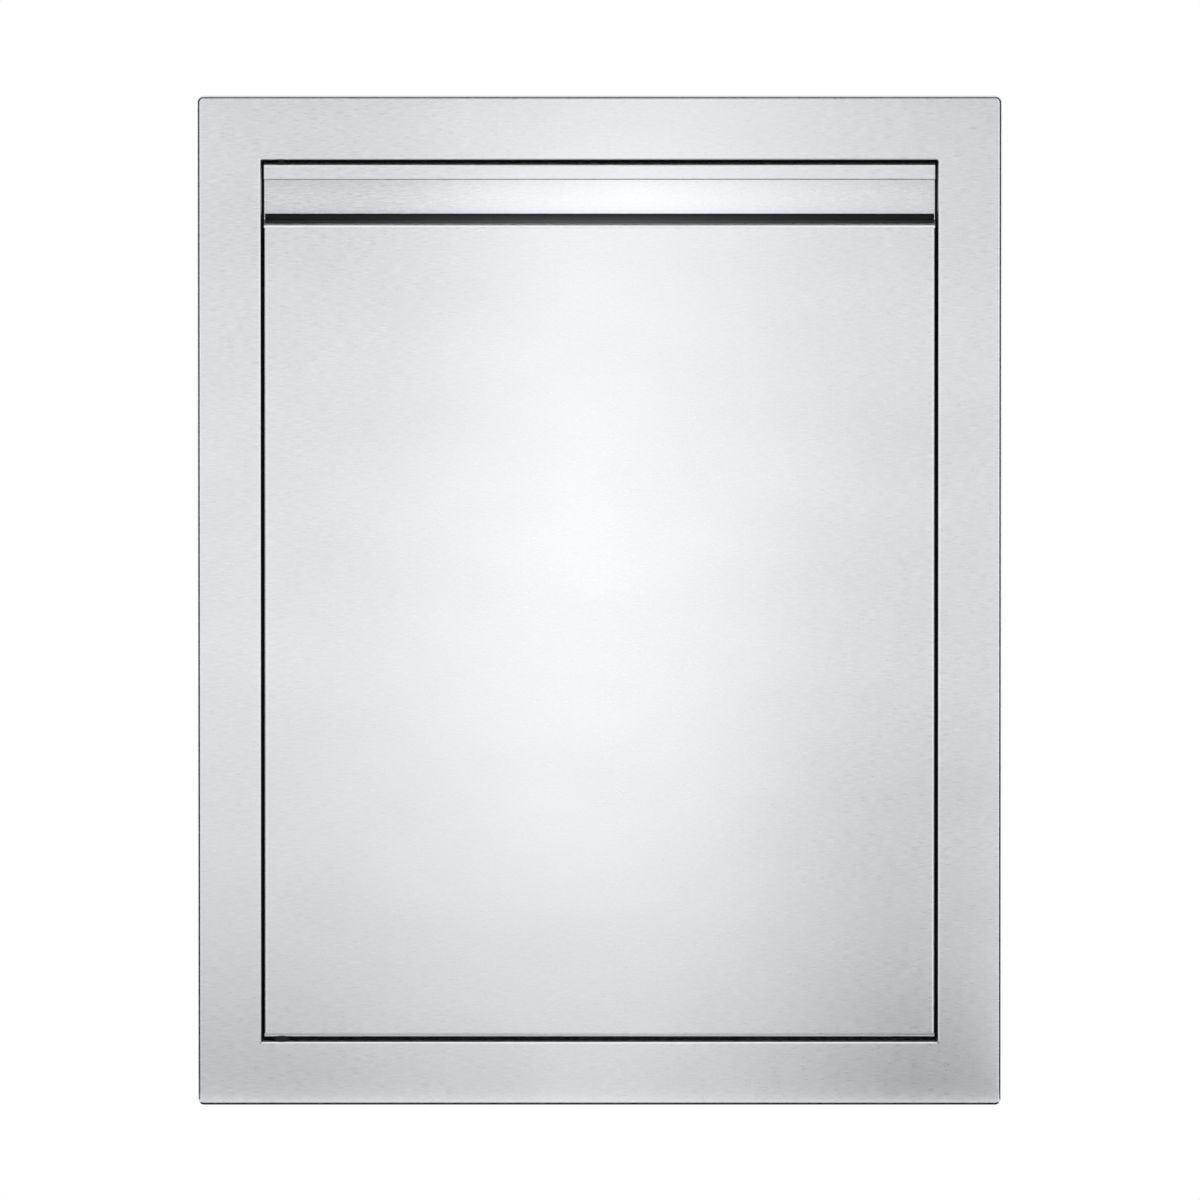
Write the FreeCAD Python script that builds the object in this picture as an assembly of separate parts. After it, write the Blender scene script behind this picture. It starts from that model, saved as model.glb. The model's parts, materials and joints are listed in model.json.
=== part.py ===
import FreeCAD
import Part
import math
import os

# Single access door for an outdoor kitchen island: a folded trim frame that drops into a cut-out in the
# island's face, and a flush double-skin door with a full-width folded finger pull, hung on two pivot pins.
# Millimetres. The origin is the middle of the opening, on the plane of the island's face.
# +X is to the right, +Y goes into the island, +Z is up. The door is hinged on the left.

V = FreeCAD.Vector
ALONG_X = V(1, 0, 0)
ALONG_Y = V(0, 1, 0)
ALONG_Z = V(0, 0, 1)
SIDES = (("left", -1), ("right", 1))

# Trim frame
frame_width = 514.4
frame_height = 647.7
border = 40.8
trim_depth = 9.5
seat_lip = 8.0
frame_sheet = 1.2
trim_corner = 4.0
trim_bend = 2.0
opening_bend = 1.5
corner_relief = 1.6
relief_inset = 0.6

# Body behind the trim: reveal, rails and door stop
reveal_depth = 26.5
rail_standoff = 12.0
rail_flange = 12.0
rail_return = 12.0
rail_bend = 0.8
body_depth = 46.0
stop_width = 14.0
stop_leg = 11.0
gusset_leg = 40.0
gusset_sheet = 1.5
screw_hole = 5.0
screw_spacing = 400.0
screw_from_stop = 19.0

# Door
side_gap = 1.95
top_gap = 2.8
bottom_gap = 2.8
door_depth = 22.0
door_sheet = 1.0
lip_height = 9.9
hem_height = 3.0
hem_bend = 0.25
pull_mouth = 28.2
lip_bend = 0.5
pull_back_bend = 1.0
pull_cove = 3.0
panel_bend = 1.6
panel_side_bend = 1.5

# Inner skin and stiffeners
liner_sheet = 1.0
liner_margin = 1.5
liner_return = 9.5
liner_fit = 0.15
liner_edge = 0.8
liner_below_pull = 5.0
stiffener_sheet = 0.8
stiffener_crown = 24.0
stiffener_foot = 12.0
stiffener_pitch = 110.0
stiffener_bend = 1.2
stiffener_end = 3.0
weep_hole = 5.0
weep_spacing = 300.0

# Pivots
pivot_from_edge = 10.95
pivot_from_front = 5.9
pin_radius = 2.5
pin_clearance = 0.05
pin_tip = 0.6
bush_radius = 3.6
bush_flange_radius = 5.5
bush_fit = 0.05
upper_bush_flange = 1.0
upper_bush_length = 5.85
lower_bush_flange = 1.4
lower_bush_length = 8.0
lower_pin_engagement = 7.0
lower_plate = 2.0
lower_plate_length = 42.0
lower_plate_width = 11.0
pin_head_radius = 3.9
pin_head = 2.0
upper_plate = 1.5
upper_plate_length = 34.0

# Sprung upper pin and its release
pin_travel = 8.2
pin_hidden = 0.2
pin_shoulder_radius = 3.4
pin_shoulder = 1.0
pin_top_above_rail = 7.25
clip_groove = 0.5
clip_radius = 3.5
clip_thickness = 0.8
clip_slack = 0.3
clip_play = 0.05
clip_mouth = 3.2
spring_wire = 0.6
spring_inner_radius = 2.6
spring_room = 16.75
spring_turns = 4
spring_sides = 6
lever_sheet = 1.5
lever_width = 7.0
lever_reach = 13.0
lever_tab = 14.0
lever_bend = 1.0
lever_slot_play = 0.7
bracket_sheet = 1.2
bracket_depth = 6.6
bracket_foot = 11.0
bracket_side = 5.0
bracket_clear = 2.0

# Magnetic catches and bumpers
catch_inset = 89.05
catch_from_stop_edge = 6.1
magnet_width = 4.0
magnet_height = 19.0
magnet_depth = 10.0
pole_sheet = 1.0
pole_gap = 0.3
pole_proud = 0.8
catch_wall = 0.8
catch_body_width = 11.8
catch_body_height = 28.0
catch_body_depth = 11.8
catch_ear_length = 48.0
catch_ear = 2.0
window_play = 0.3
strike_sheet = 1.2
strike_width = 8.8
strike_height = 34.0
strike_corner = 1.3
bumper_radius = 4.5
bumper_crown = 2.7
bumper_gap = 0.3
bumper_stem = 1.9
bumper_fit = 0.05
bumper_barb = 2.6
bumper_inset = 38.0

# Places worked out from the sizes above
half_frame_w = frame_width / 2
half_frame_h = frame_height / 2
half_open_w = half_frame_w - border
half_open_h = half_frame_h - border
face_y = -trim_depth
face_back_y = face_y + frame_sheet
stop_y = face_y + reveal_depth
stop_back_y = stop_y + frame_sheet
reveal_x = half_open_w + frame_sheet
reveal_z = half_open_h + frame_sheet
web_x = half_open_w + rail_standoff
web_z = half_open_h + rail_standoff
body_x = web_x + frame_sheet
body_z = web_z + frame_sheet
stop_x = half_open_w - stop_width
stop_z = half_open_h - stop_width
screw_y = stop_y + screw_from_stop

door_x = half_open_w - side_gap
door_top = half_open_h - top_gap
door_bottom = bottom_gap - half_open_h
door_back_y = face_y + door_depth
pull_floor = door_top - lip_height - pull_mouth
liner_back_y = door_back_y + liner_sheet
liner_x = door_x - door_sheet - liner_fit
liner_bottom = door_bottom + door_sheet + liner_fit

pivot_x = door_x - pivot_from_edge
pivot_y = face_y + pivot_from_front
pin_hole = pin_radius + pin_clearance
pin_rest_bottom = half_open_h + pin_hidden - pin_travel
pin_shoulder_top = reveal_z + pin_shoulder
spring_top = body_z + spring_room
clip_bottom = body_z + clip_slack

bumper_x = (stop_x + liner_x) / 2
bumper_z = stop_z - bumper_inset
bumper_y = liner_back_y + bumper_gap
catch_x = stop_x + catch_from_stop_edge
catch_z = stop_z - catch_inset
nose_half = magnet_width / 2 + pole_sheet + catch_wall
nose_height = magnet_height + 2 * catch_wall
pole_y = liner_back_y + strike_sheet + pole_gap
nose_y = pole_y + pole_proud


def box(x0, x1, y0, y1, z0, z1):
    """A block between two opposite corners."""
    return Part.makeBox(x1 - x0, y1 - y0, z1 - z0, V(x0, y0, z0))


def rod(centre, along, length, radius):
    """A cylinder that starts at centre and runs along a direction."""
    return Part.makeCylinder(radius, length, centre, along)


def turned(profile, x, y):
    """A part turned on a lathe about an upright axis; the profile is a list of (radius, height)."""
    wire = Part.makePolygon([V(x + r, y, z) for r, z in profile + profile[:1]])
    return Part.Face(wire).revolve(V(x, y, 0), ALONG_Z, 360)


def mirrored(shape, side):
    """The shape as drawn for the right side, or its mirror image for the left side."""
    return shape.copy() if side > 0 else shape.mirror(V(0, 0, 0), ALONG_X)


def edges_at(shape, test):
    """The straight edges whose two ends both pass the test."""
    return [e for e in shape.Edges if len(e.Vertexes) == 2 and all(test(v.Point) for v in e.Vertexes)]


def corner_arc(before, corner, after, radius):
    """Start, middle and end of the arc that rounds a corner of an outline."""
    into = (corner - before).normalize()
    out = (after - corner).normalize()
    half_turn = into.getAngle(out) / 2
    setback = radius * math.tan(half_turn)
    inward = (out - into).normalize()
    middle = corner + inward * (radius / math.cos(half_turn) - radius)
    return corner - into * setback, middle, corner + out * setback


def rounded_line(points, radii):
    """Edges of an open line through the points, with every inner corner rounded."""
    edges = []
    last = points[0]
    for i in range(1, len(points) - 1):
        start, middle, end = corner_arc(points[i - 1], points[i], points[i + 1], radii[i - 1])
        if (start - last).Length > 1e-6:
            edges.append(Part.makeLine(last, start))
        edges.append(Part.Arc(start, middle, end).toShape())
        last = end
    if (points[-1] - last).Length > 1e-6:
        edges.append(Part.makeLine(last, points[-1]))
    return edges


def folded_section(path, sheet, bends):
    """The section of a folded sheet, drawn flat in X and Y.

    The path is the line that the sheet's left side follows, and the sheet lies to the right of it.
    Each bend is an inside radius.
    """
    left = [V(u, v, 0) for u, v in path]
    runs = [(left[i + 1] - left[i]).normalize() for i in range(len(left) - 1)]
    rights = [V(run.y, -run.x, 0) for run in runs]
    right = [left[0] + rights[0] * sheet]
    left_radii = []
    right_radii = []
    for i, bend in enumerate(bends):
        meet = rights[i] + rights[i + 1]
        right.append(left[i + 1] + meet * (sheet / (1 + rights[i].dot(rights[i + 1]))))
        turns_right = runs[i].cross(runs[i + 1]).z < 0
        left_radii.append(bend + sheet if turns_right else bend)
        right_radii.append(bend if turns_right else bend + sheet)
    right.append(left[-1] + rights[-1] * sheet)
    edges = rounded_line(left, left_radii)
    edges += [Part.makeLine(left[-1], right[-1]), Part.makeLine(right[0], left[0])]
    edges += rounded_line(right, right_radii)
    return Part.Face(Part.Wire(Part.__sortEdges__(edges)))


def folded_upright(path, sheet, bends, z0, z1):
    """A folded sheet with an upright length: its path is in X and Y."""
    section = folded_section(path, sheet, bends)
    section.translate(V(0, 0, z0))
    return section.extrude(ALONG_Z * (z1 - z0))


def folded_across(path, sheet, bends, x0, x1):
    """A folded sheet that runs across: its path is in Y and Z."""
    section = folded_section(path, sheet, bends)
    section.rotate(V(0, 0, 0), V(1, 1, 1), 120)
    section.translate(V(x0, 0, 0))
    return section.extrude(ALONG_X * (x1 - x0))


def face_frame():
    """The trim: one folded sheet with outer returns, a seat lip and the reveal round the opening."""
    tray = box(-half_frame_w, half_frame_w, face_y, 0, -half_frame_h, half_frame_h)
    corners = edges_at(tray, lambda p: True)
    corners = [e for e in corners if abs(e.tangentAt(e.FirstParameter).y) > 0.9]
    tray = tray.makeFillet(trim_corner, corners)
    front = [e for e in tray.Edges if e.BoundBox.YMax < face_y + 1e-6]
    tray = tray.makeFillet(trim_bend, front)
    inside = box(
        -half_frame_w + frame_sheet, half_frame_w - frame_sheet, face_back_y, -frame_sheet,
        -half_frame_h + frame_sheet, half_frame_h - frame_sheet,
    )
    corners = [e for e in inside.Edges if abs(e.tangentAt(e.FirstParameter).y) > 0.9]
    inside = inside.makeFillet(trim_corner - frame_sheet, corners)
    lip = frame_sheet + seat_lip
    seat_hole = box(
        -half_frame_w + lip, half_frame_w - lip, -2 * frame_sheet, frame_sheet,
        -half_frame_h + lip, half_frame_h - lip,
    )
    reveal = box(-reveal_x, reveal_x, face_y + frame_sheet / 2, stop_y, -reveal_z, reveal_z)
    opening = box(
        -half_open_w, half_open_w, face_y - 1, stop_y + 1, -half_open_h, half_open_h,
    )
    shape = tray.cut(inside).cut(seat_hole).fuse(reveal).cut(opening).removeSplitter()
    rim = edges_at(
        shape,
        lambda p: abs(p.y - face_y) < 1e-4 and abs(p.x) < reveal_x and abs(p.z) < reveal_z,
    )
    shape = shape.makeFillet(opening_bend, rim)
    for side in (-1, 1):
        for end, inset in ((-1, relief_inset), (1, 0)):
            corner = V(side * (half_open_w + inset), face_y - 1, end * (half_open_h + inset))
            shape = shape.cut(rod(corner, ALONG_Y, 1 + 2 * opening_bend, corner_relief / 2))
    return shape.cut(rod(V(-pivot_x, pivot_y, -reveal_z - 1), ALONG_Z, 2 * reveal_z + 2, pin_hole))


def side_rail(side):
    """An upright rail of the body, with the two screw holes that fix the unit to the island."""
    path = [
        (body_x + rail_flange, face_back_y),
        (web_x, face_back_y),
        (web_x, body_depth - frame_sheet),
        (web_x - rail_return, body_depth - frame_sheet),
    ]
    shape = folded_upright(path, frame_sheet, [rail_bend, rail_bend], -body_z, body_z)
    for end in (-1, 1):
        start = V(web_x - 1, screw_y, end * screw_spacing / 2)
        shape = shape.cut(rod(start, ALONG_X, frame_sheet + 2, screw_hole / 2))
    return mirrored(shape, side)


def cross_rail():
    """The rail that closes the body at the top or bottom, drawn for the top."""
    path = [
        (face_back_y + frame_sheet, body_z + rail_flange),
        (face_back_y + frame_sheet, body_z),
        (body_depth, body_z),
        (body_depth, web_z - rail_return),
    ]
    shape = folded_across(path, frame_sheet, [rail_bend, rail_bend], -web_x, web_x)
    for side in (-1, 1):
        notch = box(
            web_x - rail_return, web_x + 1, body_depth - frame_sheet - rail_bend, body_depth + 1,
            web_z - rail_return - 1, body_z + 1,
        )
        shape = shape.cut(mirrored(notch, side))
    return shape


def head_rail():
    """The top rail: a guide hole for the sprung pin, and a notch in its flange for the pin's bracket."""
    guide = rod(V(-pivot_x, pivot_y, web_z - 1), ALONG_Z, frame_sheet + 2, pin_hole)
    notch = box(
        -pivot_x - bracket_side - bracket_foot - bracket_clear, -pivot_x + bracket_side + bracket_clear,
        face_back_y - 1, face_back_y + frame_sheet + rail_bend, body_z, body_z + rail_flange + 1,
    )
    return cross_rail().cut(guide).cut(notch)


def side_stop(side):
    """An angle down one side that the closed door comes up against, with holes where things fix to it."""
    path = [(web_x, stop_y + stop_leg), (web_x, stop_y), (stop_x, stop_y)]
    shape = folded_upright(path, frame_sheet, [rail_bend], -stop_z, stop_z)
    if side > 0:
        for end in (-1, 1):
            shape = shape.cut(catch_window(end * catch_z))
            start = V(bumper_x, stop_y - 1, end * bumper_z)
            shape = shape.cut(rod(start, ALONG_Y, frame_sheet + 2, bumper_stem + bumper_fit))
    return mirrored(shape, side)


def catch_window(z):
    """The opening in the stop that a catch's nose looks through."""
    half = nose_half + window_play
    tall = nose_height / 2 + window_play
    return box(catch_x - half, catch_x + half, stop_y - 1, stop_back_y + 1, z - tall, z + tall)


def cross_stop():
    """The stop angle across the top or bottom, drawn for the top."""
    path = [(stop_y, stop_z), (stop_y, web_z), (stop_y + stop_leg, web_z)]
    return folded_across(path, frame_sheet, [rail_bend], -web_x, web_x)


def head_stop():
    """The top stop, slotted so that the release lever can reach through it."""
    half = lever_width / 2 + lever_slot_play
    slot = box(-pivot_x - half, -pivot_x + half, stop_y - 1, stop_y + stop_leg + 1, reveal_z, web_z + 1)
    return cross_stop().cut(slot)


def corner_gusset(side, end):
    """A flat triangle welded in a rear corner of the body."""
    a = V(web_x - rail_bend, body_depth - frame_sheet - gusset_sheet, web_z - rail_bend)
    outline = [a, a - ALONG_X * gusset_leg, a - ALONG_Z * gusset_leg, a]
    shape = Part.Face(Part.makePolygon(outline)).extrude(ALONG_Y * gusset_sheet)
    shape = mirrored(shape, side)
    return shape if end > 0 else shape.mirror(V(0, 0, 0), ALONG_Z)


def sill_pivot_plate():
    """The plate under the sill of the reveal that stiffens it round the pivot hole."""
    plate = box(
        -pivot_x - pivot_from_edge, -pivot_x - pivot_from_edge + lower_plate_length,
        pivot_y - pin_head_radius, pivot_y - pin_head_radius + lower_plate_width,
        -reveal_z - lower_plate, -reveal_z,
    )
    start = V(-pivot_x, pivot_y, -reveal_z - lower_plate - 1)
    return plate.cut(rod(start, ALONG_Z, lower_plate + 2, pin_hole))


def lower_pivot_pin():
    """The fixed bottom pin: its head is under the plate and its tip stands up into the door's bush."""
    bottom = -reveal_z - lower_plate
    tip = door_bottom + lower_pin_engagement
    profile = [
        (0, bottom - pin_head), (pin_head_radius, bottom - pin_head), (pin_head_radius, bottom),
        (pin_radius, bottom), (pin_radius, tip - pin_tip), (pin_radius - pin_tip, tip), (0, tip),
    ]
    return turned(profile, -pivot_x, pivot_y)


def thrust_washer():
    """The washer on the sill that carries the door's lower bush."""
    low, high = -half_open_h, door_bottom - lower_bush_flange
    profile = [
        (pin_hole, low), (bush_flange_radius, low), (bush_flange_radius, high), (pin_hole, high),
    ]
    return turned(profile, -pivot_x, pivot_y)


def upper_pivot_pin():
    """The sprung top pin: its shoulder rests on the reveal and its tip drops into the door's bush."""
    top = body_z + pin_top_above_rail
    groove = pin_radius - clip_groove
    low = clip_bottom - clip_play
    high = clip_bottom + clip_thickness + clip_play
    profile = [
        (0, pin_rest_bottom), (pin_radius - pin_tip, pin_rest_bottom),
        (pin_radius, pin_rest_bottom + pin_tip), (pin_radius, reveal_z), (pin_shoulder_radius, reveal_z),
        (pin_shoulder_radius, pin_shoulder_top), (pin_radius, pin_shoulder_top), (pin_radius, low),
        (groove, low), (groove, high), (pin_radius, high), (pin_radius, top), (0, top),
    ]
    return turned(profile, -pivot_x, pivot_y)


def release_lever():
    """A flat lever on the pin that runs back through the stop and ends in a tab to push up."""
    rear = stop_back_y + lever_reach
    top = pin_shoulder_top + lever_sheet
    path = [(pivot_y, top), (rear, top), (rear, top - lever_tab)]
    half = lever_width / 2
    arm = folded_across(path, lever_sheet, [lever_bend], -pivot_x - half, -pivot_x + half)
    eye = rod(V(-pivot_x, pivot_y, pin_shoulder_top), ALONG_Z, lever_sheet, half)
    hole = rod(V(-pivot_x, pivot_y, pin_shoulder_top - 1), ALONG_Z, lever_sheet + 2, pin_hole)
    tab = [e for e in arm.Edges if e.BoundBox.ZMax < top - lever_tab + 1e-6 and e.BoundBox.XLength < 1e-6]
    return arm.makeFillet(half * 0.6, tab).fuse(eye).cut(hole).removeSplitter()


def spring_clip():
    """The open clip in the pin's groove that the spring pushes down on."""
    base = V(-pivot_x, pivot_y, clip_bottom)
    ring = rod(base, ALONG_Z, clip_thickness, clip_radius)
    ring = ring.cut(rod(base, ALONG_Z, clip_thickness, pin_radius - clip_groove + clip_play))
    half = clip_mouth / 2
    mouth = box(
        -pivot_x, -pivot_x + clip_radius + 1, pivot_y - half, pivot_y + half,
        clip_bottom - 1, clip_bottom + clip_thickness + 1,
    )
    return ring.cut(mouth)


def tangent_arc(start, corner, end):
    """The arc that leaves start towards the corner and comes into end from it."""
    middle = (start + end) / 2
    leg = (corner - start).Length
    radius = (middle - start).Length * leg / (corner - middle).Length
    reach = math.sqrt(radius ** 2 + leg ** 2) - radius
    return Part.Arc(start, corner + (middle - corner).normalize() * reach, end).toShape()


def half_turn(start, away, end, towards):
    """Two arcs that meet smoothly: they leave start along one direction and reach end along another."""
    span = end - start
    a = 2 * (away.dot(towards) - 1)
    b = -2 * span.dot(away + towards)
    leg = (-b - math.sqrt(b ** 2 - 4 * a * span.dot(span))) / (2 * a)
    first = start + away * leg
    second = end - towards * leg
    joint = (first + second) / 2
    return [tangent_arc(start, first, joint), tangent_arc(joint, second, end)]


def pivot_spring():
    """The compression spring between the clip and the bracket: one unbroken wire."""
    radius = spring_inner_radius + spring_wire / 2
    bottom = clip_bottom + clip_thickness + spring_wire / 2
    pitch = (spring_top - spring_wire / 2 - bottom) / spring_turns
    points = []
    headings = []
    for i in range(2 * spring_turns + 1):
        angle = math.pi * i
        points.append(V(
            -pivot_x + radius * math.cos(angle), pivot_y + radius * math.sin(angle), bottom + pitch * i / 2,
        ))
        headings.append(V(
            -radius * math.sin(angle), radius * math.cos(angle), pitch / (2 * math.pi),
        ).normalize())
    arcs = []
    for i in range(2 * spring_turns):
        arcs += half_turn(points[i], headings[i], points[i + 1], headings[i + 1])
    outward = V(spring_wire / 2, 0, 0)
    turn = FreeCAD.Rotation(headings[0], 360 / spring_sides)
    rim = [outward]
    for i in range(spring_sides):
        rim.append(turn.multVec(rim[-1]))
    section = Part.makePolygon([points[0] + r for r in rim])
    print(f"pivot_spring: the least gap between its turns is {pitch - spring_wire:.2f} mm")
    return Part.Wire(arcs).makePipeShell([section], True, False)


def spring_bracket():
    """The folded bracket on the head rail that holds the spring's top."""
    width = bracket_side
    leg_x = -pivot_x - width
    path = [
        (leg_x - bracket_foot, body_z + bracket_sheet),
        (leg_x, body_z + bracket_sheet),
        (leg_x, spring_top + bracket_sheet),
        (-pivot_x + width, spring_top + bracket_sheet),
    ]
    section = folded_section(path, bracket_sheet, [rail_bend, rail_bend])
    section.rotate(V(0, 0, 0), ALONG_X, 90)
    section.translate(V(0, pivot_y + bracket_depth / 2, 0))
    return section.extrude(ALONG_Y * -bracket_depth)


def door_skin():
    """The front skin: lip, finger pull and panel folded from one sheet, with welded side returns."""
    sheet = door_sheet
    lip_bottom = door_top - lip_height
    hem_back = face_y + 2 * sheet + 2 * hem_bend
    path = [
        (hem_back, lip_bottom + hem_height),
        (hem_back, lip_bottom),
        (face_y, lip_bottom),
        (face_y, door_top),
        (door_back_y, door_top),
        (door_back_y, pull_floor - sheet),
        (face_y + sheet, pull_floor - sheet),
        (face_y + sheet, door_bottom + sheet),
        (door_back_y, door_bottom + sheet),
    ]
    bends = [hem_bend, hem_bend, lip_bend, pull_back_bend, pull_cove, panel_bend, panel_bend]
    shape = folded_across(path, sheet, bends, -door_x, door_x)
    outline = Part.makePolygon([
        V(door_x - sheet, y, z) for y, z in (
            (face_y, door_bottom), (door_back_y, door_bottom), (door_back_y, pull_floor),
            (face_y, pull_floor), (face_y, door_bottom),
        )
    ])
    cheek = Part.Face(outline).extrude(ALONG_X * sheet)
    nose = [e for e in cheek.Edges if e.BoundBox.YMax < face_y + 1e-6 and e.BoundBox.ZLength < 1e-6]
    cheek = cheek.makeFillet(panel_bend + sheet, nose)
    r = panel_side_bend
    low, high = door_bottom + panel_bend + sheet, pull_floor - panel_bend - sheet
    square = box(door_x - r, door_x + 1, face_y - 1, face_y + r, low, high)
    round_edge = square.cut(rod(V(door_x - r, face_y + r, low), ALONG_Z, high - low, r))
    for side in (-1, 1):
        shape = shape.fuse(mirrored(cheek, side))
    for side in (-1, 1):
        shape = shape.cut(mirrored(round_edge, side))
        start = V(side * weep_spacing / 2, 0, door_bottom - 1)
        shape = shape.cut(rod(start, ALONG_Z, sheet + 2, weep_hole / 2))
    for z in (door_bottom, door_top):
        start = V(-pivot_x, pivot_y, z - 2 * sheet)
        shape = shape.cut(rod(start, ALONG_Z, 4 * sheet, bush_radius + bush_fit))
    return shape.removeSplitter()


def door_liner():
    """The back skin: a shallow pan nested in the front skin, carried up flat behind the finger pull."""
    sheet = liner_sheet
    pan_top = pull_floor - liner_below_pull
    front = door_back_y + sheet - liner_return
    back = liner_back_y
    top = door_top - liner_margin
    pan = box(-liner_x, liner_x, front, back, liner_bottom, top)
    rim = [e for e in pan.Edges if e.BoundBox.YMin > back - 1e-6 and e.BoundBox.ZMin < top - 1e-6]
    pan = pan.makeFillet(liner_edge, rim)
    inside = box(
        -liner_x + sheet, liner_x - sheet, front - 1, door_back_y, liner_bottom + sheet, pan_top,
    )
    above = box(-liner_x - 1, liner_x + 1, front - 1, door_back_y, pan_top, top + 1)
    return pan.cut(inside).cut(above)


def stiffener(x):
    """A hat section that ties the two skins together behind the panel."""
    half = stiffener_crown / 2
    back = door_back_y
    crown = face_y + door_sheet + stiffener_sheet
    path = [
        (x - half - stiffener_foot, back), (x - half, back), (x - half, crown),
        (x + half, crown), (x + half, back), (x + half + stiffener_foot, back),
    ]
    low = door_bottom + door_sheet + stiffener_end
    high = pull_floor - door_sheet - stiffener_end
    return folded_upright(path, stiffener_sheet, [stiffener_bend] * 4, low, high)


def bush(end):
    """A flanged plastic bush in the door's top or bottom edge."""
    if end > 0:
        face, flange, length = door_top, upper_bush_flange, upper_bush_length
    else:
        face, flange, length = door_bottom, lower_bush_flange, lower_bush_length
    profile = [
        (pin_hole, face + end * flange), (bush_flange_radius, face + end * flange),
        (bush_flange_radius, face), (bush_radius, face), (bush_radius, face - end * length),
        (pin_hole, face - end * length),
    ]
    return turned(profile, -pivot_x, pivot_y)


def door_pivot_plate(end):
    """A plate inside the door's top or bottom edge that the bush is seated in."""
    if end > 0:
        low, high = door_top - door_sheet - upper_plate, door_top - door_sheet
        front, back = face_y + door_sheet + lip_bend + 1, door_back_y - door_sheet - pull_back_bend
        length = upper_plate_length
    else:
        low, high = door_bottom + door_sheet, door_bottom + door_sheet + lower_plate
        front, back = face_y + door_sheet + panel_bend, door_back_y + liner_sheet - liner_return - 1
        length = lower_plate_length
    edge = door_x - door_sheet - panel_side_bend
    plate = box(-edge, length - edge, front, back, low, high)
    return plate.cut(rod(V(-pivot_x, pivot_y, low - 1), ALONG_Z, high - low + 2, bush_radius + bush_fit))


def catch_housing(z):
    """The moulded body of a magnetic catch: ears behind the stop and a nose through its window."""
    body_half = catch_body_width / 2
    back = stop_back_y + catch_body_depth
    body = box(
        catch_x - body_half, catch_x + body_half, stop_back_y, back,
        z - catch_body_height / 2, z + catch_body_height / 2,
    )
    rear = [e for e in body.Edges if e.BoundBox.YMin > back - 1e-6]
    body = body.makeFillet(catch_wall, rear)
    ear = box(
        catch_x - body_half, catch_x + body_half, stop_back_y, stop_back_y + catch_ear,
        z - catch_ear_length / 2, z + catch_ear_length / 2,
    )
    ends = [e for e in ear.Edges if e.BoundBox.YLength > catch_ear - 1e-6]
    ear = ear.makeFillet(catch_wall * 3, ends)
    nose = box(
        catch_x - nose_half, catch_x + nose_half, nose_y, stop_back_y,
        z - nose_height / 2, z + nose_height / 2,
    )
    shape = body.fuse(ear).fuse(nose)
    pocket = magnet_width / 2 + pole_sheet
    return shape.removeSplitter().cut(box(
        catch_x - pocket, catch_x + pocket, nose_y - 1, pole_y + magnet_depth + pole_proud,
        z - magnet_height / 2, z + magnet_height / 2,
    ))


def catch_magnet(z):
    """The magnet between the two pole plates."""
    half = magnet_width / 2
    return box(
        catch_x - half, catch_x + half, nose_y, nose_y + magnet_depth,
        z - magnet_height / 2, z + magnet_height / 2,
    )


def catch_poles(z):
    """The two steel plates that carry the pull to the strike."""
    plates = []
    for side in (-1, 1):
        a, b = sorted((catch_x + side * magnet_width / 2, catch_x + side * (magnet_width / 2 + pole_sheet)))
        plates.append(box(
            a, b, pole_y, pole_y + magnet_depth + pole_proud,
            z - magnet_height / 2, z + magnet_height / 2,
        ))
    return Part.makeCompound(plates)


def strike_plate(z):
    """The steel plate on the door's liner that the catch pulls on."""
    half = strike_width / 2
    plate = box(
        catch_x - half, catch_x + half, liner_back_y, liner_back_y + strike_sheet,
        z - strike_height / 2, z + strike_height / 2,
    )
    return plate.makeFillet(strike_corner, [e for e in plate.Edges if e.BoundBox.YLength > strike_sheet / 2])


def door_bumpers():
    """Two rubber bumpers pushed into the latch side's stop, each held by a barb behind it."""
    reach = stop_y - bumper_y
    through = reach + frame_sheet
    profile = [
        (0, 0), (bumper_crown, 0), (bumper_radius, reach), (bumper_stem, reach), (bumper_stem, through),
        (bumper_barb, through), (bumper_stem, through + bumper_barb), (0, through + bumper_barb),
    ]
    bumpers = []
    for end in (-1, 1):
        bumper = turned(profile, 0, 0)
        bumper.rotate(V(0, 0, 0), ALONG_X, -90)
        bumper.translate(V(bumper_x, bumper_y, end * bumper_z))
        bumpers.append(bumper)
    return Part.makeCompound(bumpers)


def upside_down(shape):
    """The same piece for the sill, from the one drawn for the head."""
    return shape.mirror(V(0, 0, 0), ALONG_Z)


parts = {"face_frame": face_frame()}
parts["head_rail"] = head_rail()
parts["sill_rail"] = upside_down(cross_rail())
parts["head_stop"] = head_stop()
parts["sill_stop"] = upside_down(cross_stop())
for hand, side in SIDES:
    parts[f"{hand}_rail"] = side_rail(side)
    parts[f"{hand}_stop"] = side_stop(side)
    parts[f"upper_{hand}_gusset"] = corner_gusset(side, 1)
    parts[f"lower_{hand}_gusset"] = corner_gusset(side, -1)
parts["sill_pivot_plate"] = sill_pivot_plate()
parts["lower_pivot_pin"] = lower_pivot_pin()
parts["thrust_washer"] = thrust_washer()
parts["spring_bracket"] = spring_bracket()
parts["pivot_spring"] = pivot_spring()
parts["upper_pivot_pin"] = upper_pivot_pin()
parts["release_lever"] = release_lever()
parts["spring_clip"] = spring_clip()
parts["door_bumpers"] = door_bumpers()
for level, end in (("upper", 1), ("lower", -1)):
    parts[f"{level}_catch_housing"] = catch_housing(end * catch_z)
    parts[f"{level}_catch_magnet"] = catch_magnet(end * catch_z)
    parts[f"{level}_catch_poles"] = catch_poles(end * catch_z)
    parts[f"{level}_strike_plate"] = strike_plate(end * catch_z)
    parts[f"{level}_bush"] = bush(end)
    parts[f"{level}_pivot_plate"] = door_pivot_plate(end)
parts["door_skin"] = door_skin()
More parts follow.
